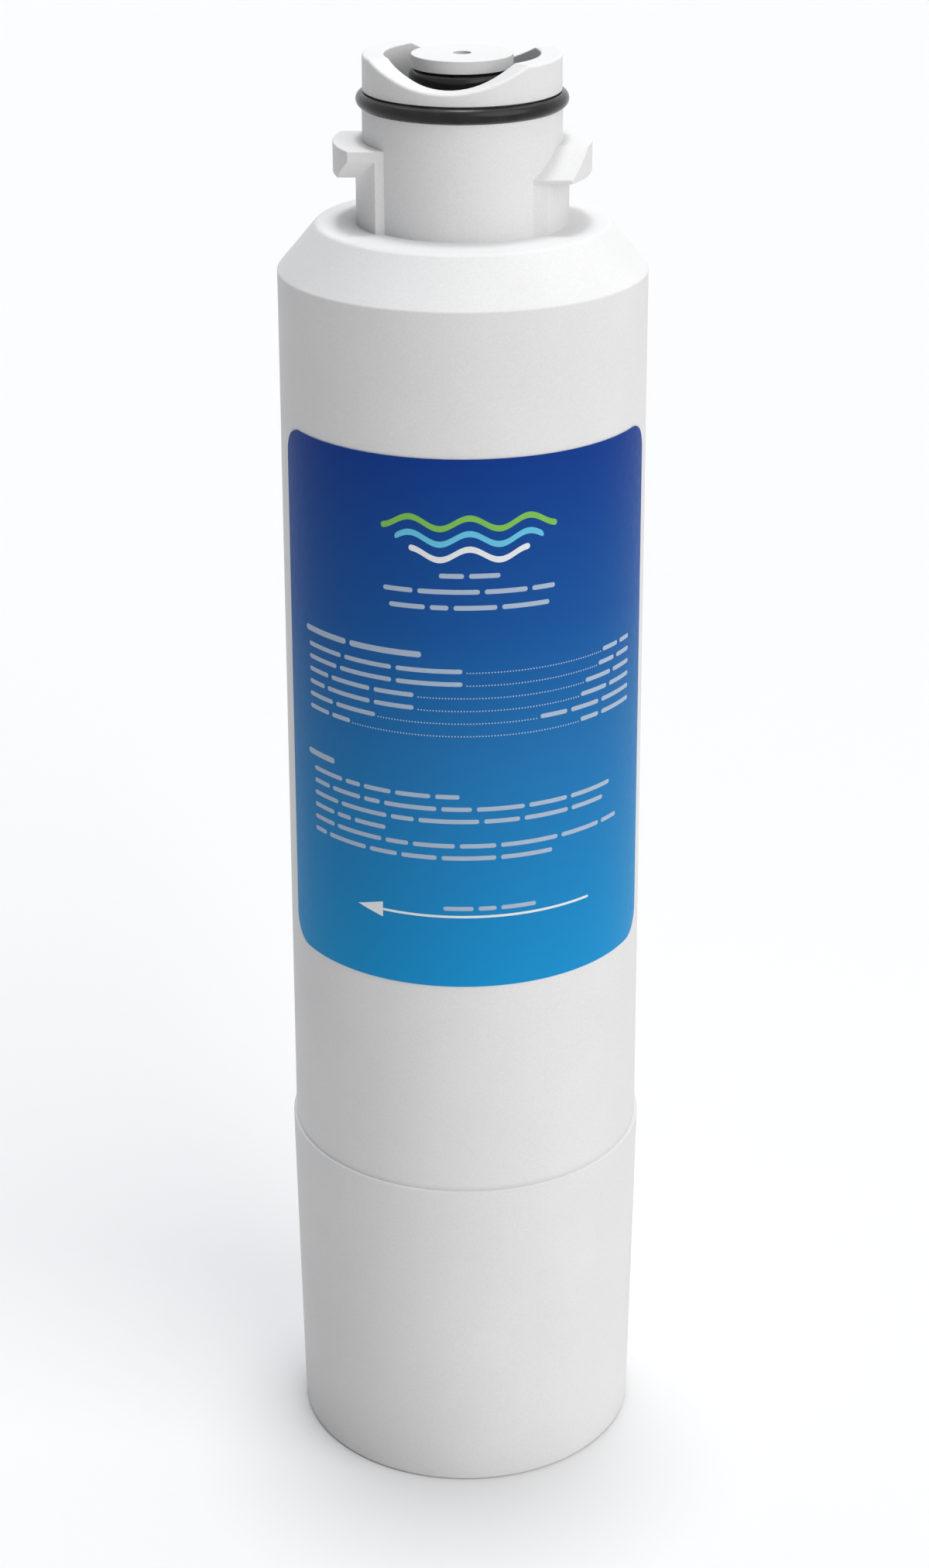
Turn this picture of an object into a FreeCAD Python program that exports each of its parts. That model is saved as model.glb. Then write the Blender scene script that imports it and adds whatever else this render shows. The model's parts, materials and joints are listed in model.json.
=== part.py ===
import FreeCAD
import Part
import Sketcher
import math
import os

# Twist-in water filter cartridge for a fridge: a two-piece welded plastic housing with a bayonet
# neck, two seal rings, a wrap-round label, and a wrapped carbon block held between two end caps.
# Frame: origin at the centre of the base, +Z up the cartridge, -Y towards the label, millimetres.

SIZES = [
    # barrel and shoulder of the upper housing
    ("shoulder_radius", 28.0, "barrel radius at the shoulder edge"),
    ("body_draft", 0.005, "growth of the barrel radius per mm downwards"),
    ("barrel_height", 144.72, "weld seam to shoulder edge"),
    ("shoulder_rise", 6.96, "height of the shoulder cone"),
    ("shoulder_run", 5.9, "width of the shoulder cone"),
    ("shoulder_round", 0.4, "round where the barrel meets the shoulder cone"),
    ("deck_round", 1.0, "round where the shoulder cone meets the deck"),
    ("wall", 3.0, "barrel wall"),
    ("deck_wall", 3.2, "wall under the flat deck"),
    # lower cup and the weld between the two housings
    ("cup_height", 57.12, "base to weld seam"),
    ("cup_draft", 0.0143, "growth of the cup radius per mm upwards"),
    ("cup_wall", 3.3, "cup wall below the weld"),
    ("cup_floor", 3.2, "cup floor"),
    ("base_round", 0.6, "round at the foot of the cup"),
    ("base_recess", 0.8, "depth of the recess under the base"),
    ("base_ring", 4.5, "width of the ring the cartridge stands on"),
    ("gate_radius", 2.2, "stub of the moulding gate under the base"),
    ("gate_height", 0.35, "stub of the moulding gate below the recess"),
    ("seam_step", 0.48, "ledge of the cup outside the barrel"),
    ("seam_round", 0.25, "round on the cup's upper edge"),
    ("tongue_depth", 6.0, "weld tongue of the barrel inside the cup"),
    ("tongue_inset", 1.5, "tongue face inside the barrel face"),
    ("weld_gap", 0.1, "tongue to cup, on the radius"),
    ("weld_relief", 0.3, "flash space under the tongue"),
    # neck and its seal ring
    ("neck_radius", 14.88, "neck below the seal groove"),
    ("neck_wall", 3.33, "neck wall"),
    ("collar", 4.82, "lug top to seal groove"),
    ("groove_width", 2.53, "seal groove"),
    ("groove_depth", 1.43, "seal groove below the neck face"),
    ("ring_section", 2.3, "cord of the neck seal ring"),
    ("ring_gap", 0.03, "seal rings to their seats"),
    ("rim_band", 5.15, "seal groove to rim top"),
    ("rim_relief", 0.11, "rim inside the neck face"),
    ("rim_round", 0.4, "round on the rim's outer edge"),
    ("bore_round", 0.2, "round on the rim's inner edge"),
    # cam wave of the rim, two valleys half a turn apart
    ("cam_depth", 3.4, "valley below the rim top"),
    ("cam_long_rise", 0.078, "long ramp, mm per degree"),
    ("cam_short_rise", 0.1, "short ramp, mm per degree"),
    ("cam_blend", 31.3, "half width of the rounded valley, degrees"),
    ("cam_turn", -7.0, "where the two ramps would meet, degrees from -Y"),
    # bayonet lugs, two half a turn apart
    ("lug_gap", 7.55, "deck to lug underside"),
    ("lug_height", 4.65, "lug underside to lug top"),
    ("lug_proud", 4.42, "lug beyond the neck"),
    ("lug_lead", 9.47, "leading end from the mid plane"),
    ("lug_tail", 10.75, "tail end from the mid plane"),
    ("lead_thickness", 1.55, "lug at its leading end"),
    ("lead_run", 4.0, "length of the ramp under the leading end"),
    ("tail_thickness", 0.6, "lug at its tail end"),
    ("tail_run", 5.1, "length of the ramp on top of the tail end"),
    ("sleeve_wall", 1.07, "thickening of the neck under each lug"),
    ("sleeve_skew", 21.0, "slant of the thickening's tail end, degrees"),
    ("lug_round", 0.2, "round on the edges of the lugs and their thickenings"),
    # outlet spigot of the upper end cap
    ("channel", 4.0, "inlet channel between neck bore and spigot"),
    ("disc_thickness", 1.9, "flange at the spigot tip"),
    ("disc_round", 0.12, "round on the flange edges"),
    ("port_radius", 1.35, "outlet hole in the spigot tip"),
    ("port_depth", 4.0, "length of the outlet hole"),
    ("outlet_radius", 3.4, "outlet passage below the hole"),
    ("spigot_ring_section", 2.4, "cord of the spigot seal ring"),
    ("spigot_ring_proud", 0.35, "spigot seal ring beyond the flange"),
    ("spigot_groove_width", 2.7, "seal groove of the spigot"),
    # end caps, block and wrap
    ("flow_gap", 1.15, "end cap to barrel wall"),
    ("skirt_wall", 1.3, "skirt of the end caps"),
    ("skirt_height", 8.0, "skirt over the block"),
    ("cap_disc", 3.0, "disc of the end caps"),
    ("glue_gap", 0.05, "block to skirt, wrap and collars"),
    ("wrap_thickness", 1.0, "non-woven wrap"),
    ("block_bore", 6.5, "bore radius of the block"),
    ("collar_height", 5.0, "collars of the end caps in the block bore"),
    ("collar_wall", 1.4, "collar wall"),
    ("web_height", 10.4, "upper end cap to the ceiling"),
    ("web_rise", 10.0, "part of the webs inside the neck"),
    ("web_thickness", 1.6, "webs and feet of the end caps"),
    ("web_count", 4, "webs on the upper cap, feet on the lower cap"),
    ("centring_gap", 0.15, "webs to neck bore, feet to cup wall"),
    ("foot_height", 14.0, "cup floor to the lower end cap"),
    # label
    ("label_rise", 37.18, "weld seam to label"),
    ("label_height", 85.86, "label height"),
    ("label_width", 71.08, "label round the barrel, at half its height"),
    ("label_shift", 0.87, "label middle from -Y, round the barrel"),
    ("label_corner", 4.5, "label corner radius"),
    ("label_thickness", 0.15, "label film"),
    ("label_gap", 0.02, "glue under the label"),
]

# Places that follow from the sizes, in the order in which they depend on each other.
PLACES = [
    ("shoulder_z", "sizes.cup_height + sizes.barrel_height"),
    ("deck_z", "shoulder_z + sizes.shoulder_rise"),
    ("deck_radius", "sizes.shoulder_radius - sizes.shoulder_run"),
    ("lug_base", "deck_z + sizes.lug_gap"),
    ("lug_top", "lug_base + sizes.lug_height"),
    ("groove_base", "lug_top + sizes.collar"),
    ("groove_top", "groove_base + sizes.groove_width"),
    ("rim_top", "groove_top + sizes.rim_band"),
    ("seam_radius", "sizes.shoulder_radius + sizes.body_draft * sizes.barrel_height"),
    ("tongue_radius", "seam_radius - sizes.tongue_inset"),
    ("tongue_base", "sizes.cup_height - sizes.tongue_depth"),
    ("tongue_bore", "seam_radius + sizes.body_draft * sizes.tongue_depth - sizes.wall"),
    ("ceiling_z", "deck_z - sizes.deck_wall"),
    ("ceiling_radius", "deck_radius - sizes.wall / 2"),
    ("barrel_bore", "sizes.shoulder_radius - sizes.wall"),
    ("bore_bend_z", "shoulder_z - sizes.wall / 2"),
    ("rim_radius", "sizes.neck_radius - sizes.rim_relief"),
    ("groove_root", "sizes.neck_radius - sizes.groove_depth"),
    ("neck_bore", "sizes.neck_radius - sizes.neck_wall"),
    ("lug_radius", "sizes.neck_radius + sizes.lug_proud"),
    ("sleeve_radius", "sizes.neck_radius + sizes.sleeve_wall"),
    ("cup_radius", "seam_radius + sizes.seam_step"),
    ("base_radius", "cup_radius - sizes.cup_draft * sizes.cup_height"),
    ("weld_bore", "tongue_radius + sizes.weld_gap"),
    ("ledge_z", "tongue_base - sizes.weld_relief"),
    ("ledge_radius", "cup_radius - sizes.cup_draft * (sizes.cup_height - ledge_z) - sizes.cup_wall"),
    ("floor_radius", "base_radius + sizes.cup_draft * sizes.cup_floor - sizes.cup_wall"),
    ("recess_radius", "base_radius - sizes.base_ring"),
    ("gate_base", "sizes.base_recess - sizes.gate_height"),
    ("disc_radius", "neck_bore - sizes.channel"),
    ("disc_base", "rim_top - sizes.disc_thickness"),
    ("spigot_groove_base", "disc_base - sizes.spigot_groove_width"),
    ("spigot_ring_radius", "disc_radius + sizes.spigot_ring_proud - sizes.spigot_ring_section / 2"),
    ("spigot_root", "spigot_ring_radius - sizes.spigot_ring_section / 2 - sizes.ring_gap"),
    ("cap_radius", "barrel_bore - sizes.flow_gap"),
    ("skirt_bore", "cap_radius - sizes.skirt_wall"),
    ("block_radius", "skirt_bore - sizes.glue_gap"),
    ("plug_radius", "sizes.block_bore - sizes.glue_gap"),
    ("upper_cap_z", "ceiling_z - sizes.web_height"),
    ("block_top", "upper_cap_z - sizes.cap_disc"),
    ("lower_cap_z", "sizes.cup_floor + sizes.foot_height"),
    ("block_base", "lower_cap_z + sizes.cap_disc"),
    ("wrap_bore", "block_radius + sizes.glue_gap"),
    ("wrap_radius", "wrap_bore + sizes.wrap_thickness"),
    ("wrap_base", "block_base + sizes.skirt_height"),
    ("wrap_top", "block_top - sizes.skirt_height"),
    ("web_radius", "ceiling_radius - sizes.centring_gap"),
    ("web_top", "ceiling_z + sizes.web_rise"),
    ("web_neck", "neck_bore - sizes.centring_gap"),
    ("foot_radius", "floor_radius - sizes.centring_gap"),
    ("label_base", "sizes.cup_height + sizes.label_rise"),
    ("label_top", "label_base + sizes.label_height"),
    ("label_base_radius", "sizes.shoulder_radius + sizes.label_gap"
                          " + sizes.body_draft * (shoulder_z - label_base)"),
    ("label_top_radius", "sizes.shoulder_radius + sizes.label_gap"
                         " + sizes.body_draft * (shoulder_z - label_top)"),
    ("label_radius", "(label_base_radius + label_top_radius) / 2"),
    ("label_span", "sizes.label_width / label_radius * 180 / pi"),
    ("label_turn", "sizes.label_shift / label_radius * 180 / pi"),
]

# How close two places have to be to count as one, in mm.
NEAR = 1e-2

doc = FreeCAD.newDocument("water_filter_cartridge")


def fill_sheet(name, rows):
    """A sheet with one row for each (alias, value, ...): the name in A, the value in B."""
    sheet = doc.addObject("Spreadsheet::Sheet", name)
    for number, row in enumerate(rows, start=1):
        sheet.set(f"A{number}", row[0])
        sheet.set(f"B{number}", str(row[1]))
        sheet.setAlias(f"B{number}", row[0])
    doc.recompute()
    return sheet


sizes = fill_sheet("sizes", SIZES)
places = fill_sheet("places", [(alias, "=" + formula) for alias, formula in PLACES])


def value(expression):
    """The number that an expression on the two sheets stands for."""
    return float(places.evalExpression(str(expression)))


def at(alias):
    """The expression for a named place or size, as other objects write it."""
    sheet = "places" if alias in dict(PLACES) else "sizes"
    return f"{sheet}.{alias}"


def origin_feature(body, role):
    """One of the body's own origin planes or axes."""
    return next(item for item in body.Origin.OriginFeatures if item.Role == role)


def new_sketch(body, name, plane):
    sketch = body.newObject("Sketcher::SketchObject", name)
    sketch.AttachmentSupport = [(origin_feature(body, plane), "")]
    sketch.MapMode = "FlatFace"
    return sketch


def hold(sketch, kind, geometry, expression):
    """Dimension the start of a line from the sketch origin, or pin it to the axis at zero."""
    size = value(expression)
    if abs(size) < NEAR:
        axis = -2 if kind == "DistanceX" else -1
        sketch.addConstraint(Sketcher.Constraint("PointOnObject", geometry, 1, axis))
        return
    number = sketch.addConstraint(Sketcher.Constraint(kind, -1, 1, geometry, 1, size))
    sketch.setExpression(f"Constraints[{number}]", str(expression))


def outline(body, name, plane, corners):
    """A closed polygon whose corners are (across, up) expressions."""
    sketch = new_sketch(body, name, plane)
    spots = [FreeCAD.Vector(value(across), value(up), 0) for across, up in corners]
    count = len(spots)
    for number, spot in enumerate(spots):
        sketch.addGeometry(Part.LineSegment(spot, spots[(number + 1) % count]), False)
    for number in range(count):
        following = (number + 1) % count
        sketch.addConstraint(Sketcher.Constraint("Coincident", number, 2, following, 1))
    for number, (across, up) in enumerate(corners):
        hold(sketch, "DistanceX", number, across)
        hold(sketch, "DistanceY", number, up)
    return sketch


def new_body(name):
    body = doc.addObject("PartDesign::Body", name)
    body.Label = name
    return body


def revolve(body, name, sketch, kind="PartDesign::Revolution", angle="360"):
    """Turn a profile about the cartridge axis, evenly to both sides of its plane."""
    feature = body.newObject(kind, name)
    feature.Profile = sketch
    feature.ReferenceAxis = (sketch, ["V_Axis"])
    feature.Midplane = True
    feature.setExpression("Angle", angle)
    doc.recompute()
    return feature


def pad(body, name, sketch, length, symmetric=False):
    feature = body.newObject("PartDesign::Pad", name)
    feature.Profile = sketch
    feature.SideType = "Symmetric" if symmetric else "One side"
    feature.setExpression("Length", length)
    doc.recompute()
    return feature


def polar_pattern(body, name, originals, count):
    """Repeat features evenly round the cartridge axis."""
    pattern = body.newObject("PartDesign::PolarPattern", name)
    pattern.Originals = originals
    pattern.Axis = (origin_feature(body, "Z_Axis"), [""])
    pattern.Angle = 360
    pattern.setExpression("Occurrences", count)
    body.Tip = pattern
    doc.recompute()
    return pattern


def ring_edges(shape, radius, height):
    """Names of the circular edges at a radius and a height."""
    names = []
    for number, edge in enumerate(shape.Edges, start=1):
        curve = edge.Curve
        if not isinstance(curve, Part.Circle):
            continue
        if abs(curve.Radius - radius) < NEAR and abs(curve.Center.z - height) < NEAR:
            names.append(f"Edge{number}")
    return names


def round_edges(body, name, rings, radius):
    """Fillet the circular edges listed as (radius alias, height alias)."""
    base = body.Tip
    names = []
    for ring_radius, ring_height in rings:
        height = value(at(ring_height)) if ring_height else 0.0
        names += ring_edges(base.Shape, value(at(ring_radius)), height)
    fillet = body.newObject("PartDesign::Fillet", name)
    fillet.Base = (base, names)
    fillet.setExpression("Radius", at(radius))
    doc.recompute()
    return fillet


def profile(*corners):
    """Corners given as pairs of aliases; None stands for zero."""
    return [tuple("0" if alias is None else at(alias) for alias in corner) for corner in corners]


def housing_blank():
    """The outside of the upper housing, turned solid: tongue, barrel, shoulder, deck, neck, rim."""
    body = new_body("housing_blank")
    sketch = outline(body, "housing_outside", "XZ_Plane", profile(
        (None, "tongue_base"), ("tongue_radius", "tongue_base"), ("tongue_radius", "cup_height"),
        ("seam_radius", "cup_height"), ("shoulder_radius", "shoulder_z"), ("deck_radius", "deck_z"),
        ("neck_radius", "deck_z"), ("neck_radius", "groove_base"), ("groove_root", "groove_base"),
        ("groove_root", "groove_top"), ("rim_radius", "groove_top"), ("rim_radius", "rim_top"),
        (None, "rim_top")))
    revolve(body, "housing_turning", sketch)
    round_edges(body, "shoulder_edge", [("shoulder_radius", "shoulder_z")], "shoulder_round")
    round_edges(body, "deck_edge", [("deck_radius", "deck_z")], "deck_round")
    return body


def housing_cavity():
    """The space inside the upper housing: barrel bore, cone under the shoulder, ceiling, neck bore."""
    body = new_body("housing_cavity")
    sketch = outline(body, "housing_inside", "XZ_Plane", profile(
        (None, "tongue_base"), ("tongue_bore", "tongue_base"), ("barrel_bore", "bore_bend_z"),
        ("ceiling_radius", "ceiling_z"), ("neck_bore", "ceiling_z"), ("neck_bore", "rim_top"),
        (None, "rim_top")))
    revolve(body, "cavity_turning", sketch)
    return body


def trimmed_to_radius(name, body, radius):
    """The part of a body inside a cylinder about the cartridge axis."""
    cylinder = doc.addObject("Part::Cylinder", f"{name}_limit")
    cylinder.setExpression("Radius", at(radius))
    cylinder.setExpression("Height", at("rim_top"))
    common = doc.addObject("Part::Common", name)
    common.Base = body
    common.Tool = cylinder
    return common


def softened(name, base, rounds):
    """A solid with rounds on its edges, listed as (edge numbers, radius alias)."""
    fillet = doc.addObject("Part::Fillet", name)
    fillet.Base = base
    fillet.Edges = [(number, value(at(radius)), value(at(radius)))
                    for numbers, radius in rounds for number in numbers]
    return fillet


def upright_edges(shape, radius):
    """Numbers of the edges that run straight up the outside of a cylinder about the cartridge axis."""
    numbers = []
    for number, edge in enumerate(shape.Edges, start=1):
        foot, head = edge.firstVertex().Point, edge.lastVertex().Point
        upright = math.hypot(foot.x - head.x, foot.y - head.y) < NEAR
        if upright and abs(math.hypot(foot.x, foot.y) - radius) < NEAR:
            numbers.append(number)
    return numbers


def turned_body(name, turn):
    body = new_body(name)
    body.Placement = FreeCAD.Placement(FreeCAD.Vector(), FreeCAD.Rotation(FreeCAD.Vector(0, 0, 1), turn))
    return body


def bayonet_lug(turn):
    """One lug with the thickening of the neck that carries it, on the side that turn gives."""
    lug = turned_body(f"lug_bar_{turn}", turn)
    tail, lead = "-" + at("lug_tail"), at("lug_lead")
    base, top = at("lug_base"), at("lug_top")
    tail_top = f"{base} + {at('tail_thickness')}"
    tail_break = f"{at('tail_run')} - {at('lug_tail')}"
    pad(lug, f"lug_pad_{turn}", outline(lug, f"lug_side_{turn}", "YZ_Plane", [
        (tail, base), (f"{lead} - {at('lead_run')}", base),
        (lead, f"{top} - {at('lead_thickness')}"), (lead, top), (tail_break, top), (tail, tail_top)]),
        at("lug_radius"))

    sleeve = turned_body(f"sleeve_bar_{turn}", turn)
    pad(sleeve, f"sleeve_pad_{turn}", outline(sleeve, f"sleeve_side_{turn}", "YZ_Plane", [
        (tail, at("deck_z")), (lead, at("deck_z")), (lead, f"{top} - {at('lead_thickness')} / 2"),
        (tail, f"{base} + {at('tail_thickness')} / 2")]),
        at("sleeve_radius"))
    skew = f"tan({at('sleeve_skew')})"
    root = f"sqrt({at('neck_radius')} ^ 2 - {at('lug_tail')} ^ 2)"
    wedge = outline(sleeve, f"sleeve_wedge_{turn}", "XY_Plane", [
        (root, tail), (at("lug_radius"), tail),
        (at("lug_radius"), f"{tail} + ({at('lug_radius')} - {root}) * {skew}")])
    cut = sleeve.newObject("PartDesign::Pocket", f"sleeve_slant_{turn}")
    cut.Profile = wedge
    cut.Reversed = True
    cut.setExpression("Length", at("lug_base"))
    doc.recompute()
    trimmed_lug = trimmed_to_radius(f"lug_trim_{turn}", lug, "lug_radius")
    trimmed_sleeve = trimmed_to_radius(f"sleeve_trim_{turn}", sleeve, "sleeve_radius")
    doc.recompute()
    edges = trimmed_lug.Shape.Edges
    outside = [number for number, edge in enumerate(edges, start=1)
               if max(abs(spot.x) for spot in edge.discretize(3)) > NEAR]
    ends = upright_edges(trimmed_sleeve.Shape, value(at("sleeve_radius")))
    return [softened(f"lug_{turn}", trimmed_lug, [(outside, "lug_round")]),
            softened(f"sleeve_{turn}", trimmed_sleeve, [(ends, "lug_round")])]


def cam_height(angle):
    """Height of the cam face below the rim top: two straight ramps and a parabola between them."""
    long_rise, short_rise = value(at("cam_long_rise")), value(at("cam_short_rise"))
    blend, offset = value(at("cam_blend")), angle - value(at("cam_turn"))
    meeting = value(at("cam_depth")) + blend * long_rise * short_rise / (long_rise + short_rise)
    if offset <= -blend:
        return -meeting - long_rise * offset
    if offset >= blend:
        return -meeting + short_rise * offset
    reach = offset + blend
    return -meeting + long_rise * blend - long_rise * reach \
        + (long_rise + short_rise) * reach ** 2 / (4 * blend)


def cam_cutters():
    """Two solids above the wavy cam face, which is level along each radius like a screw face.

    They reach a third of the neck wall past the rim on all sides.
    """
    long_rise, short_rise = value(at("cam_long_rise")), value(at("cam_short_rise"))
    blend, middle = value(at("cam_blend")), value(at("cam_turn"))
    rim_top, spare = value(at("rim_top")), value(at("neck_wall")) / 3
    meeting = value(at("cam_depth")) + blend * long_rise * short_rise / (long_rise + short_rise)
    first = middle - (meeting + spare) / long_rise
    last = middle + (meeting + spare) / short_rise
    steps = 24

    def cam_edge(radius, turn):
        points = []
        for step in range(steps + 1):
            angle = first + (last - first) * step / steps
            around = math.radians(angle + turn)
            points.append(FreeCAD.Vector(radius * math.sin(around), -radius * math.cos(around),
                                         rim_top + cam_height(angle)))
        curve = Part.BSplineCurve()
        curve.interpolate(points)
        return curve.toShape()

    inner, outer = value(at("neck_bore")) - spare, value(at("rim_radius")) + spare
    solids = []
    for turn in (0, 180):
        face = Part.makeRuledSurface(cam_edge(inner, turn), cam_edge(outer, turn))
        solids.append(face.extrude(FreeCAD.Vector(0, 0, value(at("rim_band")))))
    cutters = doc.addObject("Part::Feature", "cam_cutters")
    cutters.Shape = Part.makeCompound(solids)
    return cutters


def rim_edges(shape, radius):
    """Numbers of the edges of the rim's top face at a radius."""
    low = value(at("groove_top")) + NEAR
    numbers = []
    for number, edge in enumerate(shape.Edges, start=1):
        if edge.Degenerated:
            continue
        spots = edge.discretize(5)
        on_rim = all(abs(math.hypot(spot.x, spot.y) - value(at(radius))) < NEAR for spot in spots)
        if on_rim and all(spot.z > low for spot in spots):
            numbers.append(number)
    return numbers


def upper_housing():
    """Blank and lugs in one moulding, hollowed, with the cam wave cut into its rim."""
    pieces = [housing_blank()]
    for turn in (0, 180):
        pieces += bayonet_lug(turn)
    moulding = doc.addObject("Part::MultiFuse", "housing_moulding")
    moulding.Shapes = pieces
    hollow = doc.addObject("Part::Cut", "housing_hollow")
    hollow.Base = moulding
    hollow.Tool = housing_cavity()
    cam = doc.addObject("Part::Cut", "housing_cam")
    cam.Base = hollow
    cam.Tool = cam_cutters()
    doc.recompute()
    housing = softened("upper_housing", cam, [(rim_edges(cam.Shape, "rim_radius"), "rim_round"),
                                              (rim_edges(cam.Shape, "neck_bore"), "bore_round")])
    doc.recompute()
    return housing


def lower_cup():
    """The cup that closes the housing, with its weld pocket, floor and standing ring."""
    body = new_body("lower_cup")
    sketch = outline(body, "cup_section", "XZ_Plane", profile(
        (None, "gate_base"), ("gate_radius", "gate_base"), ("gate_radius", "base_recess"),
        ("recess_radius", "base_recess"), ("recess_radius", None),
        ("base_radius", None), ("cup_radius", "cup_height"), ("weld_bore", "cup_height"),
        ("weld_bore", "ledge_z"), ("ledge_radius", "ledge_z"), ("floor_radius", "cup_floor"),
        (None, "cup_floor")))
    revolve(body, "cup_turning", sketch)
    round_edges(body, "cup_foot_round", [("base_radius", None)], "base_round")
    round_edges(body, "cup_seam_round", [("cup_radius", "cup_height")], "seam_round")
    return body


def seal_ring(name, radius, section, height):
    """A seal ring of round cord about the cartridge axis."""
    ring = doc.addObject("Part::Torus", name)
    ring.Label = name
    ring.setExpression("Radius1", radius)
    ring.setExpression("Radius2", f"{section} / 2")
    ring.setExpression("Placement.Base.z", height)
    return ring


def upper_end_cap():
    """End cap with the outlet spigot: disc, skirt, collar, passage, seal groove, tip flange, webs."""
    body = new_body("upper_end_cap")
    skirt_base, collar_base = at("wrap_top"), f"{at('block_top')} - {at('collar_height')}"
    collar_bore = f"{at('plug_radius')} - {at('collar_wall')}"
    port_base = f"{at('rim_top')} - {at('port_depth')}"
    throat = f"{at('upper_cap_z')} + {at('plug_radius')}"
    sketch = outline(body, "upper_cap_section", "XZ_Plane", [
        (collar_bore, collar_base), (at("plug_radius"), collar_base),
        (at("plug_radius"), at("block_top")), (at("skirt_bore"), at("block_top")),
        (at("skirt_bore"), skirt_base), (at("cap_radius"), skirt_base),
        (at("cap_radius"), at("upper_cap_z")), (at("disc_radius"), at("upper_cap_z")),
        (at("disc_radius"), at("spigot_groove_base")), (at("spigot_root"), at("spigot_groove_base")),
        (at("spigot_root"), at("disc_base")), (at("disc_radius"), at("disc_base")),
        (at("disc_radius"), at("rim_top")), (at("port_radius"), at("rim_top")),
        (at("port_radius"), port_base), (at("outlet_radius"), port_base),
        (at("outlet_radius"), throat), (collar_bore, at("upper_cap_z"))])
    revolve(body, "upper_cap_turning", sketch)
    round_edges(body, "flange_rounds", [("disc_radius", "rim_top"), ("disc_radius", "disc_base")],
                "disc_round")
    web_root = f"{at('disc_radius')} - {at('web_thickness')}"
    web = pad(body, "upper_web", outline(body, "upper_web_side", "XZ_Plane", [
        (web_root, at("upper_cap_z")), (at("web_radius"), at("upper_cap_z")),
        (at("web_radius"), at("ceiling_z")), (at("web_neck"), at("ceiling_z")),
        (at("web_neck"), at("web_top")), (web_root, at("web_top"))]),
        at("web_thickness"), symmetric=True)
    polar_pattern(body, "upper_webs", [web], at("web_count"))
    return body


def lower_end_cap():
    """Closed end cap: disc, skirt, plug in the block bore, and feet that stand on the cup floor."""
    body = new_body("lower_end_cap")
    plug_top = f"{at('block_base')} + {at('collar_height')}"
    sketch = outline(body, "lower_cap_section", "XZ_Plane", [
        ("0", at("lower_cap_z")), (at("cap_radius"), at("lower_cap_z")),
        (at("cap_radius"), at("wrap_base")), (at("skirt_bore"), at("wrap_base")),
        (at("skirt_bore"), at("block_base")), (at("plug_radius"), at("block_base")),
        (at("plug_radius"), plug_top), ("0", plug_top)])
    revolve(body, "lower_cap_turning", sketch)
    foot = pad(body, "lower_foot", outline(body, "lower_foot_side", "XZ_Plane", [
        ("0", at("cup_floor")), (at("foot_radius"), at("cup_floor")),
        (at("cap_radius"), f"{at('lower_cap_z')} + {at('cap_disc')} / 2"),
        ("0", f"{at('lower_cap_z')} + {at('cap_disc')} / 2")]),
        at("web_thickness"), symmetric=True)
    polar_pattern(body, "lower_feet", [foot], at("web_count"))
    return body


def tube(name, bore, radius, base, top):
    """A plain hollow cylinder about the cartridge axis."""
    body = new_body(name)
    sketch = outline(body, f"{name}_section", "XZ_Plane",
                     profile((bore, base), (radius, base), (radius, top), (bore, top)))
    revolve(body, f"{name}_turning", sketch)
    return body


def label():
    """Film bent round the barrel. Its corners are rounded in thick stock, which is then thinned."""
    body = new_body("label")
    film, stock = at("label_thickness"), f"{at('label_corner')} / 4"
    base, top = at("label_base"), at("label_top")
    base_radius, top_radius = at("label_base_radius"), at("label_top_radius")

    def band(name, near, far):
        return outline(body, name, "YZ_Plane", [
            (f"-{base_radius} - {near}", base), (f"-{base_radius} - {far}", base),
            (f"-{top_radius} - {far}", top), (f"-{top_radius} - {near}", top)])

    bend = revolve(body, "label_bend", band("label_stock", "0", stock), angle=at("label_span"))
    corner_length = value(stock)
    corners = [f"Edge{number}" for number, edge in enumerate(bend.Shape.Edges, start=1)
               if abs(edge.Length - corner_length) < corner_length / 10]
    fillet = body.newObject("PartDesign::Fillet", "label_corners")
    fillet.Base = (bend, corners)
    fillet.setExpression("Radius", at("label_corner"))
    doc.recompute()
    revolve(body, "label_thinning", band("label_waste", film, stock), "PartDesign::Groove")
    body.Placement = FreeCAD.Placement(FreeCAD.Vector(), FreeCAD.Rotation(FreeCAD.Vector(0, 0, 1), 1))
    body.setExpression("Placement.Rotation.Angle", at("label_turn"))
    doc.recompute()
    return body


PIECES = [
    upper_housing(),
    lower_cup(),
    seal_ring("neck_seal_ring",
              f"{at('groove_root')} + {at('ring_gap')} + {at('ring_section')} / 2", at("ring_section"),
              f"{at('groove_base')} + {at('ring_gap')} + {at('ring_section')} / 2"),
    upper_end_cap(),
    seal_ring("spigot_seal_ring", at("spigot_ring_radius"), at("spigot_ring_section"),
              f"({at('disc_base')} + {at('spigot_groove_base')}) / 2"),
    tube("carbon_block", "block_bore", "block_radius", "block_base", "block_top"),
    tube("prefilter_wrap", "wrap_bore", "wrap_radius", "wrap_base", "wrap_top"),
    lower_end_cap(),
    label(),
]

doc.recompute()
for item in doc.Objects:
    if "Invalid" in item.State or "Error" in item.State:
        raise RuntimeError(f"{item.Name} failed: {item.State}")
for piece in PIECES:
    if piece.Shape.isNull() or not piece.Shape.isValid():
        raise RuntimeError(f"{piece.Label} has no sound shape")

os.makedirs("parts", exist_ok=True)
for piece in PIECES:
    piece.Shape.exportStep(f"parts/{piece.Label}.step")
    print(f"{piece.Label}: {len(piece.Shape.Solids)} solid, {piece.Shape.Volume / 1000:.2f} cm3")
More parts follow.
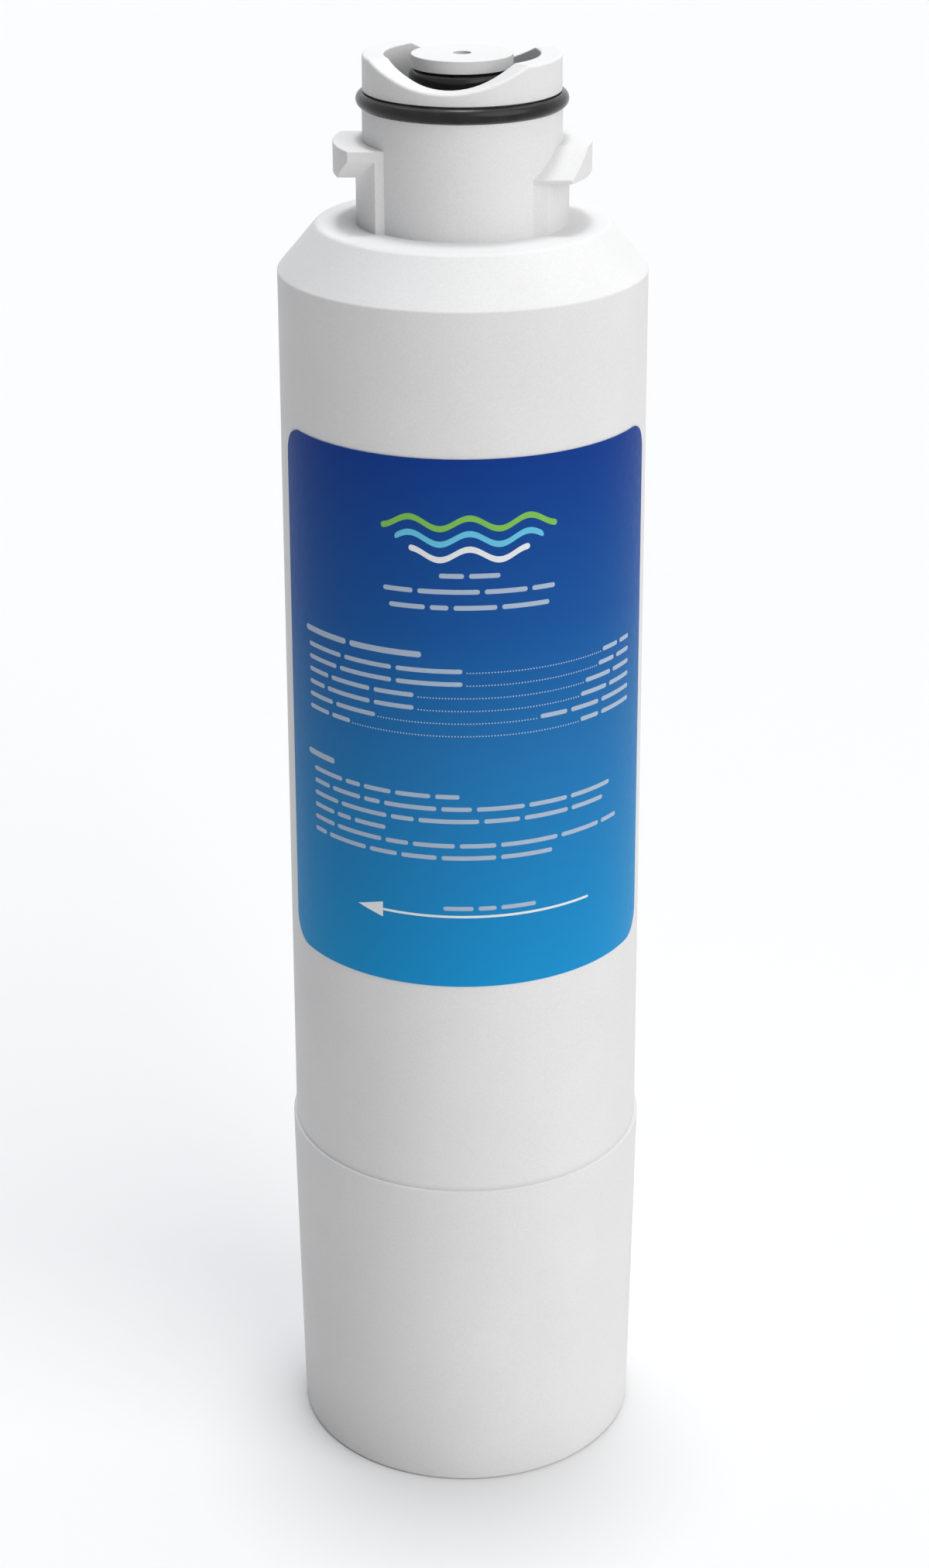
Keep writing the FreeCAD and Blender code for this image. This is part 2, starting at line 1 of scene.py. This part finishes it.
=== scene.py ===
# %% [markdown]
# # A fridge water filter cartridge, dressed for the camera
# The frame is the finished construction: nine solids in metres, standing on their base, with the
# label towards -Y. This lesson gives those solids their real finishes, makes the printed label, and
# sets up the floor, the light and the camera. Each step first says what the piece is on the real
# cartridge.

# %% Load the frame
import json
import math

import bmesh
import bpy
from mathutils import Matrix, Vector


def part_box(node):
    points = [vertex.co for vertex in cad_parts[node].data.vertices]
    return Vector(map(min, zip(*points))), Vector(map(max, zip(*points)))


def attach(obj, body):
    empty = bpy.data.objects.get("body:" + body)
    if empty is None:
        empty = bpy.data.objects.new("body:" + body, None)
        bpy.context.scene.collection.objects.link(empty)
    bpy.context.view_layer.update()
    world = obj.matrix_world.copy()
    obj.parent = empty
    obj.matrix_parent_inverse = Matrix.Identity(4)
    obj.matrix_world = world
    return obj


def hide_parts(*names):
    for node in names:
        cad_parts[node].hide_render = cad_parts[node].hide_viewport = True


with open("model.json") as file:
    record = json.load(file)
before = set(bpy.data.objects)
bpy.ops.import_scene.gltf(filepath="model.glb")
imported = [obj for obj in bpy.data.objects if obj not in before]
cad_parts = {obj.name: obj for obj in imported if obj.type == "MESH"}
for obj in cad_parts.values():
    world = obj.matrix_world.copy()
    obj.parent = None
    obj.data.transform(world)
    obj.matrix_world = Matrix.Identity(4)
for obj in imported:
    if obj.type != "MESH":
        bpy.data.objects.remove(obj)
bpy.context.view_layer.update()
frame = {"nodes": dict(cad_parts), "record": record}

MM = 0.001
scene = bpy.context.scene
print("frame:", ", ".join(sorted(frame["nodes"])))

# %% [markdown]
# ## A short way to write shader nodes
# A material is a graph of nodes. Written out line by line, a graph hides what it does, so one helper
# makes a node, sets its options and fills its inputs, either with a plain value or with another
# node's output.

# %% Node helpers
NOISE_LOW, NOISE_HIGH = 0.3, 0.7


def add_node(tree, kind, inputs=None, **options):
    """A node of a kind, with its options set and its inputs filled or linked."""
    made = tree.nodes.new(kind)
    for name, value in options.items():
        setattr(made, name, value)
    for name, value in (inputs or {}).items():
        if isinstance(value, bpy.types.NodeSocket):
            tree.links.new(value, made.inputs[name])
        else:
            made.inputs[name].default_value = value
    return made


def new_finish(name):
    """An empty finish: its material, its node tree and its shader."""
    material = bpy.data.materials.new(name)
    material.use_nodes = True
    return material, material.node_tree, material.node_tree.nodes["Principled BSDF"]


def noise(tree, size, detail=2.0):
    """Noise on the piece's own coordinates, with spots of about a size in mm."""
    spot = add_node(tree, "ShaderNodeTexCoord").outputs["Object"]
    return add_node(tree, "ShaderNodeTexNoise", {
        "Vector": spot, "Scale": 1 / (size * MM), "Detail": detail}).outputs["Fac"]


def spread(tree, source, low, high):
    """Noise stretched from its usual middle range to low and high."""
    return add_node(tree, "ShaderNodeMapRange", {
        "Value": source, "From Min": NOISE_LOW, "From Max": NOISE_HIGH,
        "To Min": low, "To Max": high}).outputs["Result"]


def blend(tree, source, first, second):
    """Noise turned into a slow change between two colours."""
    share = spread(tree, source, 0.0, 1.0)
    return add_node(tree, "ShaderNodeMix", {"Factor": share, "A": (*first, 1), "B": (*second, 1)},
                    data_type="RGBA").outputs["Result"]


def relief(tree, shader, source, depth, strength):
    """Noise as a fine relief of a depth in mm."""
    bump = add_node(tree, "ShaderNodeBump", {
        "Height": source, "Distance": depth * MM, "Strength": strength})
    tree.links.new(bump.outputs["Normal"], shader.inputs["Normal"])


print("noise is stretched from", NOISE_LOW, "to", NOISE_HIGH)

# %% [markdown]
# ## White moulded plastic
# Housing, cup and end caps are injection-moulded polypropylene. The mould's steel is spark-eroded,
# which leaves a fine, even grain and a soft sheen. A flat white would look like paper, so a grain of
# a third of a millimetre goes into relief, roughness and colour, and a slow drift of the white stands
# for the flow of the melt. An image of plastic would need a map round each piece, while noise on the
# coordinates fits all four. Just above the weld seam a painted shade greys the plastic. It stands in
# for the shade of the crease there and fades out within a millimetre above the ledge.

# %% White moulded plastic
# Painted shade: a grey band just above the weld seam stands in for the shade in the crease there.
SEAM_SHADE_DEPTH, SEAM_SHADE_FADE, SEAM_SHADE_START = 0.085, 0.9, 0.005
seam_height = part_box("lower_cup")[1].z


def painted_seam_shade(tree):
    """The share of painted shade on the plastic just above the weld seam, and 0 elsewhere."""
    spot = add_node(tree, "ShaderNodeTexCoord").outputs["Object"]
    height = add_node(tree, "ShaderNodeSeparateXYZ", {"Vector": spot}).outputs["Z"]
    fade = add_node(tree, "ShaderNodeMapRange", {
        "Value": height, "From Min": seam_height, "From Max": seam_height + SEAM_SHADE_FADE * MM,
        "To Min": SEAM_SHADE_DEPTH, "To Max": 0.0}).outputs["Result"]
    above = add_node(tree, "ShaderNodeMath", {0: height, 1: seam_height + SEAM_SHADE_START * MM},
                     operation="GREATER_THAN").outputs["Value"]
    return add_node(tree, "ShaderNodeMath", {0: fade, 1: above},
                    operation="MULTIPLY").outputs["Value"]


def moulded_white():
    material, tree, shader = new_finish("moulded_white")
    drift = noise(tree, 18)
    grain = noise(tree, 0.34, 3)
    tone = add_node(tree, "ShaderNodeMix", {"Factor": 0.6, "A": drift, "B": grain}).outputs["Result"]
    clean = blend(tree, tone, (0.77, 0.77, 0.773), (0.85, 0.85, 0.85))
    # Painted shade: just above the weld seam the white is mixed a little towards black.
    colour = add_node(tree, "ShaderNodeMix", {
        "Factor": painted_seam_shade(tree), "A": clean, "B": (0, 0, 0, 1)}, data_type="RGBA").outputs["Result"]
    tree.links.new(colour, shader.inputs["Base Color"])
    tree.links.new(spread(tree, grain, 0.46, 0.60), shader.inputs["Roughness"])
    relief(tree, shader, grain, 0.02, 0.5)
    shader.inputs["Specular IOR Level"].default_value = 0.12
    return material


white_plastic = moulded_white()
print("finish:", white_plastic.name)

# %% [markdown]
# ## Black seal rubber
# The two seal rings are moulded nitrile rubber, wiped with a film of grease. They are close to black,
# with a satin shine that breaks up a little, so the roughness wanders and a faint relief dulls the
# highlight.

# %% Black seal rubber
def seal_rubber():
    material, tree, shader = new_finish("seal_rubber")
    smear = noise(tree, 2.5, 3)
    colour = blend(tree, smear, (0.009, 0.009, 0.010), (0.017, 0.017, 0.018))
    tree.links.new(colour, shader.inputs["Base Color"])
    tree.links.new(spread(tree, smear, 0.19, 0.29), shader.inputs["Roughness"])
    relief(tree, shader, noise(tree, 0.25), 0.01, 0.3)
    shader.inputs["Specular IOR Level"].default_value = 0.22
    return material


black_rubber = seal_rubber()
print("finish:", black_rubber.name)

# %% [markdown]
# ## Carbon block and wrap
# Both are closed in by the housing, but the model may be cut open later. The block is pressed carbon
# powder: matt black with open pores. The wrap is a white felt of loose fibres, longer up the block
# than round it.

# %% Carbon block and wrap
def pressed_carbon():
    material, tree, shader = new_finish("pressed_carbon")
    pores = noise(tree, 0.8, 4)
    colour = blend(tree, pores, (0.008, 0.008, 0.008), (0.045, 0.045, 0.046))
    tree.links.new(colour, shader.inputs["Base Color"])
    tree.links.new(spread(tree, pores, 0.75, 0.95), shader.inputs["Roughness"])
    relief(tree, shader, pores, 0.2, 0.7)
    return material


def non_woven_felt():
    material, tree, shader = new_finish("non_woven_felt")
    spot = add_node(tree, "ShaderNodeTexCoord").outputs["Object"]
    drawn = add_node(tree, "ShaderNodeMapping", {"Vector": spot, "Scale": (1.0, 1.0, 0.2)})
    fibres = add_node(tree, "ShaderNodeTexNoise", {
        "Vector": drawn.outputs["Vector"], "Scale": 1 / (0.4 * MM), "Detail": 4.0}).outputs["Fac"]
    colour = blend(tree, fibres, (0.74, 0.74, 0.72), (0.88, 0.88, 0.86))
    tree.links.new(colour, shader.inputs["Base Color"])
    shader.inputs["Roughness"].default_value = 0.95
    relief(tree, shader, fibres, 0.15, 0.8)
    return material


finishes = {"white_plastic": white_plastic, "black_rubber": black_rubber,
            "pressed_carbon": pressed_carbon(), "non_woven": non_woven_felt()}
for part in frame["record"]["subparts"]:
    if part["material_slot"] in finishes:
        frame["nodes"][part["node"]].material_slots[0].material = finishes[part["material_slot"]]
        print(part["node"], "gets", part["material_slot"])

# %% [markdown]
# ## The label's place
# The label is a film, printed flat, cut with round corners and rolled onto the barrel. It is made the
# same way here: everything is drawn flat in the XZ plane, in millimetres along the film, and bent
# round the barrel at the end. The barrel tapers, so its radius is taken at each height.

# %% The label's place
BARREL_DRAFT = 0.005
LABEL_WIDTH = 71.08
LABEL_SHIFT = 0.87
LABEL_CORNER = 4.5
LABEL_LIFT = 0.02
FILM = 0.15
INK = 0.02

seam_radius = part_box("upper_housing")[1].x
label_low, label_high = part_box("label")


def barrel_radius(height):
    return seam_radius - BARREL_DRAFT * (height - seam_height)


label_radius = barrel_radius((label_low.z + label_high.z) / 2)
label_left, label_right = LABEL_SHIFT - LABEL_WIDTH / 2, LABEL_SHIFT + LABEL_WIDTH / 2
print("label:", round((label_high.z - label_low.z) / MM, 1), "mm high on a barrel of radius",
      round(label_radius / MM, 2), "mm")

# %% [markdown]
# ## Flat work and how it is bent
# A rectangle is four vertices and a face, and a bevel of those vertices rounds its corners. Before
# bending, planes cut the work into narrow strips, as a flat face can't follow a cylinder. Solidify
# gives it a thickness, and the last step turns the way along the film into a way round the barrel.

# %% Flat work and how it is bent
STRIP = 1.25


def flat_patch(shape, left, right, low, high, corner, segments=3, finish=0):
    """A flat rectangle with round corners, in mm along and up the film."""
    spots = ((left, low), (right, low), (right, high), (left, high))
    corners = [shape.verts.new((along * MM, 0, up * MM)) for along, up in spots]
    shape.faces.new(corners).material_index = finish
    bmesh.ops.bevel(shape, geom=corners, offset=corner * MM, segments=segments, profile=0.5,
                    affect="VERTICES", material=-1)


def cut_into_strips(shape, left, right, width=STRIP):
    """Cuts the work every strip width along the film, so that it can bend."""
    for number in range(math.ceil(left / width), math.floor(right / width) + 1):
        bmesh.ops.bisect_plane(shape, geom=shape.verts[:] + shape.edges[:] + shape.faces[:],
                               plane_co=(number * width * MM, 0, 0), plane_no=(1, 0, 0))


def bend_round_barrel(shape, lift, thickness):
    """Gives flat work its thickness and bends it round the barrel, lift above the plastic."""
    bmesh.ops.solidify(shape, geom=shape.faces[:], thickness=thickness * MM)
    for corner in shape.verts:
        around = corner.co.x / label_radius
        radius = barrel_radius(corner.co.z) + (lift + thickness) * MM - corner.co.y
        corner.co = (radius * math.sin(around), -radius * math.cos(around), corner.co.z)


def finished_piece(name, shape, materials, sharp=35):
    """A bmesh as a smooth-shaded object at the origin that belongs to the cartridge."""
    bmesh.ops.recalc_face_normals(shape, faces=shape.faces[:])
    mesh = bpy.data.meshes.new(name)
    shape.to_mesh(mesh)
    shape.free()
    mesh.shade_smooth()
    mesh.set_sharp_from_angle(angle=math.radians(sharp))
    for material in materials:
        mesh.materials.append(material)
    piece = bpy.data.objects.new(name, mesh)
    scene.collection.objects.link(piece)
    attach(piece, "root")
    print("piece:", name, len(mesh.polygons), "faces")
    return piece


print("strips of", STRIP, "mm to bend")

# %% [markdown]
# ## Label film
# The film is satin polypropylene, printed from deep navy at the top to a clear water blue at the
# bottom. The colour hangs on the height, so a ramp on the piece's own Z makes it. A film on a barrel
# is never quite flat: a slow, shallow relief lets the reflections wander, and the gloss is kept low,
# as a satin varnish has it.

# %% Label film
def printed_film():
    material, tree, shader = new_finish("printed_film")
    spot = add_node(tree, "ShaderNodeTexCoord").outputs["Object"]
    height = add_node(tree, "ShaderNodeSeparateXYZ", {"Vector": spot}).outputs["Z"]
    share = add_node(tree, "ShaderNodeMapRange", {
        "Value": height, "From Min": label_low.z, "From Max": label_high.z}).outputs["Result"]
    ramp = add_node(tree, "ShaderNodeValToRGB", {"Fac": share})
    stops = ramp.color_ramp.elements
    stops[0].color = (0.010, 0.285, 0.62, 1)
    stops[1].color = (0.006, 0.045, 0.268, 1)
    stops.new(0.45).color = (0.018, 0.175, 0.45, 1)
    stops.new(0.69).color = (0.010, 0.094, 0.345, 1)
    tree.links.new(ramp.outputs["Color"], shader.inputs["Base Color"])
    tree.links.new(spread(tree, noise(tree, 1.2, 3), 0.36, 0.46), shader.inputs["Roughness"])
    relief(tree, shader, noise(tree, 9, 1), 0.06, 0.25)
    shader.inputs["Specular IOR Level"].default_value = 0.06
    return material


film_shape = bmesh.new()
flat_patch(film_shape, label_left, label_right, label_low.z / MM, label_high.z / MM, LABEL_CORNER, 12)
cut_into_strips(film_shape, label_left, label_right)
bend_round_barrel(film_shape, LABEL_LIFT, FILM)
film = finished_piece("label_film", film_shape, [printed_film()])
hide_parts("label")

# %% [markdown]
# ## Label print
# The print is laid out as on such a label: a mark, three centred lines, a block of values with dotted
# leaders, a block of notes, and an arrow for the way to turn. The mark is three plain waves, and each
# word is a bar with round ends.

# %% Print inks
THIN_INK = 0.94


def print_ink(name, colour):
    material, tree, shader = new_finish(name)
    fleck = noise(tree, 0.5, 3)
    thin = tuple(part * THIN_INK for part in colour)
    tree.links.new(blend(tree, fleck, thin, colour), shader.inputs["Base Color"])
    tree.links.new(spread(tree, fleck, 0.38, 0.5), shader.inputs["Roughness"])
    shader.inputs["Specular IOR Level"].default_value = 0.2
    return material


inks = [print_ink("white_ink", (0.86, 0.88, 0.90)), print_ink("pale_ink", (0.42, 0.52, 0.66)),
        print_ink("aqua_ink", (0.14, 0.58, 0.80)), print_ink("green_ink", (0.22, 0.55, 0.09))]
WHITE, PALE, AQUA, GREEN = range(4)
print("inks:", ", ".join(ink.name for ink in inks))

# %% [markdown]
# ### Words as bars
# A line of print is a row of bars, one for each word. A word is given by its length in letter widths,
# so a line is a short tuple, and its own width follows from the letter width and the gap. Fine print
# looks paler than a broad stroke, so bars and dots have a paler ink than the arrow.

# %% Words as bars
LETTER = 0.93
WORD_GAP = 0.75
SMALL_STROKE, CENTRED_STROKE, HEADING_STROKE = 0.72, 0.75, 0.95
ROUND_END = 0.45
DOT, DOT_CORNER, DOT_PITCH = 0.11, 0.064, 0.465
PITCH = 2.05
HEADING_RISE = 2.5
INDENT = 0.8
LEFT_MARGIN = -27.8
RIGHT_MARGIN = 31.0

print_shape = bmesh.new()


def line_width(words):
    return sum(words) * LETTER + (len(words) - 1) * WORD_GAP


def set_line(words, left, height, stroke):
    """Sets bars of words from the left and returns where the line ends."""
    for letters in words:
        right = left + letters * LETTER
        flat_patch(print_shape, left, right, height - stroke / 2, height + stroke / 2,
                   stroke * ROUND_END, finish=PALE)
        left = right + WORD_GAP
    return left - WORD_GAP


def set_leader(left, right, height):
    """A dotted leader between two words."""
    for number in range(math.ceil(left / DOT_PITCH), math.floor(right / DOT_PITCH) + 1):
        middle = number * DOT_PITCH
        flat_patch(print_shape, middle - DOT, middle + DOT, height - DOT, height + DOT,
                   DOT_CORNER, 1, PALE)


centred = ((162.3, (4, 5)), (159.8, (5, 10, 7, 4)), (157.3, (6, 3, 7, 8)))
for height, words in centred:
    set_line(words, LABEL_SHIFT - line_width(words) / 2, height, CENTRED_STROKE)
print("centred lines:", len(centred))

# %% Values with dotted leaders
values = (((8, 9, 11), (4, 3)), ((7, 10, 11), (4, 4)), ((5, 8, 7), (6, 5)),
          ((4, 9, 7), (6, 6)), ((6, 8), (5, 6, 8)), ((5, 4), (4, 8)))
VALUES_TOP = 147.2
LEADER_DROP = 0.25
set_line((10, 13), LEFT_MARGIN - INDENT, VALUES_TOP + HEADING_RISE, HEADING_STROKE)
for row, (words, amounts) in enumerate(values):
    height = VALUES_TOP - row * PITCH
    end = set_line(words, LEFT_MARGIN, height, SMALL_STROKE)
    start = RIGHT_MARGIN - line_width(amounts)
    set_line(amounts, start, height, SMALL_STROKE)
    set_leader(end + WORD_GAP / 2, start - WORD_GAP / 2, height - LEADER_DROP)
print("rows of values:", len(values))

# %% Notes
notes = ((7, 3, 5, 6, 4), (4, 6, 3, 9, 5, 8, 7, 9), (6, 9, 4, 10, 6, 8, 7), (5, 3, 6),
         (5, 9, 4, 7, 6, 10, 8, 4), (3, 8, 5, 6, 9, 9))
NOTES_TOP = 126.7
set_line((7,), LEFT_MARGIN - INDENT, NOTES_TOP + HEADING_RISE, HEADING_STROKE)
for row, words in enumerate(notes):
    set_line(words, LEFT_MARGIN + INDENT, NOTES_TOP - row * PITCH, SMALL_STROKE)
print("rows of notes:", len(notes))

# %% [markdown]
# ### Arrow and waves
# The arrow is a thin bar with a triangle at its end. A wave starts as a long bar, too: once it is cut
# into strips, its vertices move up and down with a cosine. A third of the usual strip width keeps the
# curve smooth. The arrow and the words need no such move, so the waves are made by themselves first
# and the two shapes are joined in one mesh.

# %% Arrow
ARROW_HEIGHT = 106.45
ARROW_TIP, ARROW_NECK, ARROW_END = -17.6, -13.1, 21.0
SHAFT_HALF, SHAFT_CORNER, HEAD_HALF = 0.2, 0.15, 1.3
CAPTION_RISE, CAPTION_STROKE = 1.4, 0.7
flat_patch(print_shape, ARROW_NECK, ARROW_END,
           ARROW_HEIGHT - SHAFT_HALF, ARROW_HEIGHT + SHAFT_HALF, SHAFT_CORNER)
head = [print_shape.verts.new((along * MM, 0, (ARROW_HEIGHT + up) * MM))
        for along, up in ((ARROW_TIP, 0), (ARROW_NECK, -HEAD_HALF), (ARROW_NECK, HEAD_HALF))]
print_shape.faces.new(head)
caption = (5, 3, 6)
caption_left = (ARROW_NECK + ARROW_END - line_width(caption)) / 2
set_line(caption, caption_left, ARROW_HEIGHT + CAPTION_RISE, CAPTION_STROKE)
print("arrow of", round(ARROW_END - ARROW_TIP, 1), "mm")

# %% Waves
WAVE_LENGTH, WAVE_RISE, WAVE_STROKE, WAVE_STRIP = 9.0, 0.85, 0.95, STRIP / 3
WAVE_LEFT, WAVE_RIGHT = LABEL_SHIFT - 13.5, LABEL_SHIFT + 13.5

wave_shape = bmesh.new()
for middle, ink, inset in ((170.4, GREEN, 0.0), (168.0, AQUA, 2.2), (165.6, WHITE, 4.4)):
    flat_patch(wave_shape, WAVE_LEFT + inset, WAVE_RIGHT - inset, middle - WAVE_STROKE / 2,
               middle + WAVE_STROKE / 2, WAVE_STROKE * ROUND_END, 4, ink)
cut_into_strips(wave_shape, WAVE_LEFT, WAVE_RIGHT, WAVE_STRIP)
for corner in wave_shape.verts:
    turn = 2 * math.pi * (corner.co.x / MM - LABEL_SHIFT) / WAVE_LENGTH
    corner.co.z += WAVE_RISE * MM * math.cos(turn)

wave_mesh = bpy.data.meshes.new("waves_flat")
wave_shape.to_mesh(wave_mesh)
wave_shape.free()
cut_into_strips(print_shape, label_left, label_right)
print_shape.from_mesh(wave_mesh)
bpy.data.meshes.remove(wave_mesh)
bend_round_barrel(print_shape, LABEL_LIFT + FILM - INK / 4, INK)
finished_piece("label_print", print_shape, inks)

# %% [markdown]
# ## Floor
# The cartridge stands on a plain white table. The table is a large grid with one face and a matt
# finish. Seen directly it is white, and it keeps the soft shadow of the cartridge. For light that
# bounces off it, it is a little greyer, so the barrel isn't lit from below as strongly as from the
# lamps.

# %% Floor
TABLE_HALF = 6.0
floor_shape = bmesh.new()
bmesh.ops.create_grid(floor_shape, x_segments=1, y_segments=1, size=TABLE_HALF)
floor_mesh = bpy.data.meshes.new("floor")
floor_shape.to_mesh(floor_mesh)
floor_shape.free()
floor = bpy.data.objects.new("floor", floor_mesh)
scene.collection.objects.link(floor)


def seen_directly(tree):
    """1 for rays from the camera, mirrored ones and ones through glass, and 0 for bounced light."""
    path = add_node(tree, "ShaderNodeLightPath").outputs
    either = add_node(tree, "ShaderNodeMath", {0: path["Is Camera Ray"], 1: path["Is Glossy Ray"]},
                      operation="MAXIMUM").outputs["Value"]
    return add_node(tree, "ShaderNodeMath", {0: either, 1: path["Is Transmission Ray"]},
                    operation="MAXIMUM").outputs["Value"]


table_white, table_tree, table_shader = new_finish("table_white")
table_colour = add_node(table_tree, "ShaderNodeMix", {
    "Factor": seen_directly(table_tree), "A": (0.77, 0.76, 0.75, 1), "B": (0.854, 0.855, 0.858, 1)},
    data_type="RGBA").outputs["Result"]
table_tree.links.new(table_colour, table_shader.inputs["Base Color"])
table_shader.inputs["Roughness"].default_value = 0.9
table_shader.inputs["Specular IOR Level"].default_value = 0.0
floor_mesh.materials.append(table_white)
print("floor:", [round(side, 1) for side in floor.dimensions], "m")

# %% [markdown]
# ## Sky
# A weak, cool sky fills the shadows, which gives them their blue. What the camera sees of it past the
# edge of the table, and what shiny surfaces mirror of it, is plain white.

# %% Sky
world = bpy.data.worlds.new("studio_sky")
scene.world = world
world.use_nodes = True
sky = world.node_tree
sky.nodes.clear()
fill = add_node(sky, "ShaderNodeBackground", {"Color": (0.75, 0.92, 1.25, 1), "Strength": 0.03})
backdrop = add_node(sky, "ShaderNodeBackground", {"Color": (1, 1, 1, 1), "Strength": 1.0})
shown = add_node(sky, "ShaderNodeMixShader", {
    0: seen_directly(sky), 1: fill.outputs[0], 2: backdrop.outputs[0]})
add_node(sky, "ShaderNodeOutputWorld", {"Surface": shown.outputs[0]})
print("sky strength:", fill.inputs["Strength"].default_value)

# %% [markdown]
# ## Studio lamps
# A soft box is a lamp with a size, and a sun's angle is that size. Three suns do here, because a sun
# has no fall-off, and the table stays evenly white. A wide one stands for the lit ceiling. A small
# one overhead, a little behind the cartridge, draws the short shadow in front of its base. The last,
# from the front right, gives the barrel its round, bright on the right and grey on the left, and the
# seal ring its streak.

# %% Studio lamps
def soft_lamp(name, energy, colour, angle, turn, tilt):
    """A sun, in degrees. Turn goes from the camera to the right, and tilt leans from overhead."""
    lamp_data = bpy.data.lights.new(name, "SUN")
    lamp_data.energy = energy
    lamp_data.color = colour
    lamp_data.angle = math.radians(angle)
    lamp = bpy.data.objects.new(name, lamp_data)
    lean = Matrix.Rotation(math.radians(tilt), 4, "X")
    lamp.matrix_world = Matrix.Rotation(math.radians(turn), 4, "Z") @ lean
    scene.collection.objects.link(lamp)
    print("lamp:", name, energy)


soft_lamp("ceiling", 1.64, (0.98, 0.988, 1.0), 76, 180, 10)
soft_lamp("overhead", 1.18, (0.985, 0.99, 1.0), 12, 180, 5)
soft_lamp("front_right", 1.7, (1.0, 0.99, 0.975), 58, 47, 63)

# %% [markdown]
# ## Camera
# The photograph was taken from in front and above, and its lens was found from the outline, the seam
# and the label. The long side of the picture is 2025 pixels, and Blender fits the sensor's width to
# the long side.

# %% Camera
FOCAL_PIXELS = 3815.0
LONG_SIDE_PIXELS = 2025
CAMERA_PLACE = (0, -439.43 * MM, 309.54 * MM)
CAMERA_PITCH, CAMERA_ROLL = 0.4141, -0.0032
camera_data = bpy.data.cameras.new("camera")
camera_data.sensor_width = 36.0
camera_data.lens = FOCAL_PIXELS / LONG_SIDE_PIXELS * camera_data.sensor_width
camera_data.clip_start, camera_data.clip_end = 0.01, 50
camera = bpy.data.objects.new("camera", camera_data)
aim = Matrix.Rotation(math.pi / 2 - CAMERA_PITCH, 4, "X") @ Matrix.Rotation(CAMERA_ROLL, 4, "Z")
camera.matrix_world = Matrix.Translation(CAMERA_PLACE) @ aim
scene.collection.objects.link(camera)
scene.camera = camera
scene.view_settings.view_transform = "Standard"
print("lens:", round(camera_data.lens, 1), "mm")
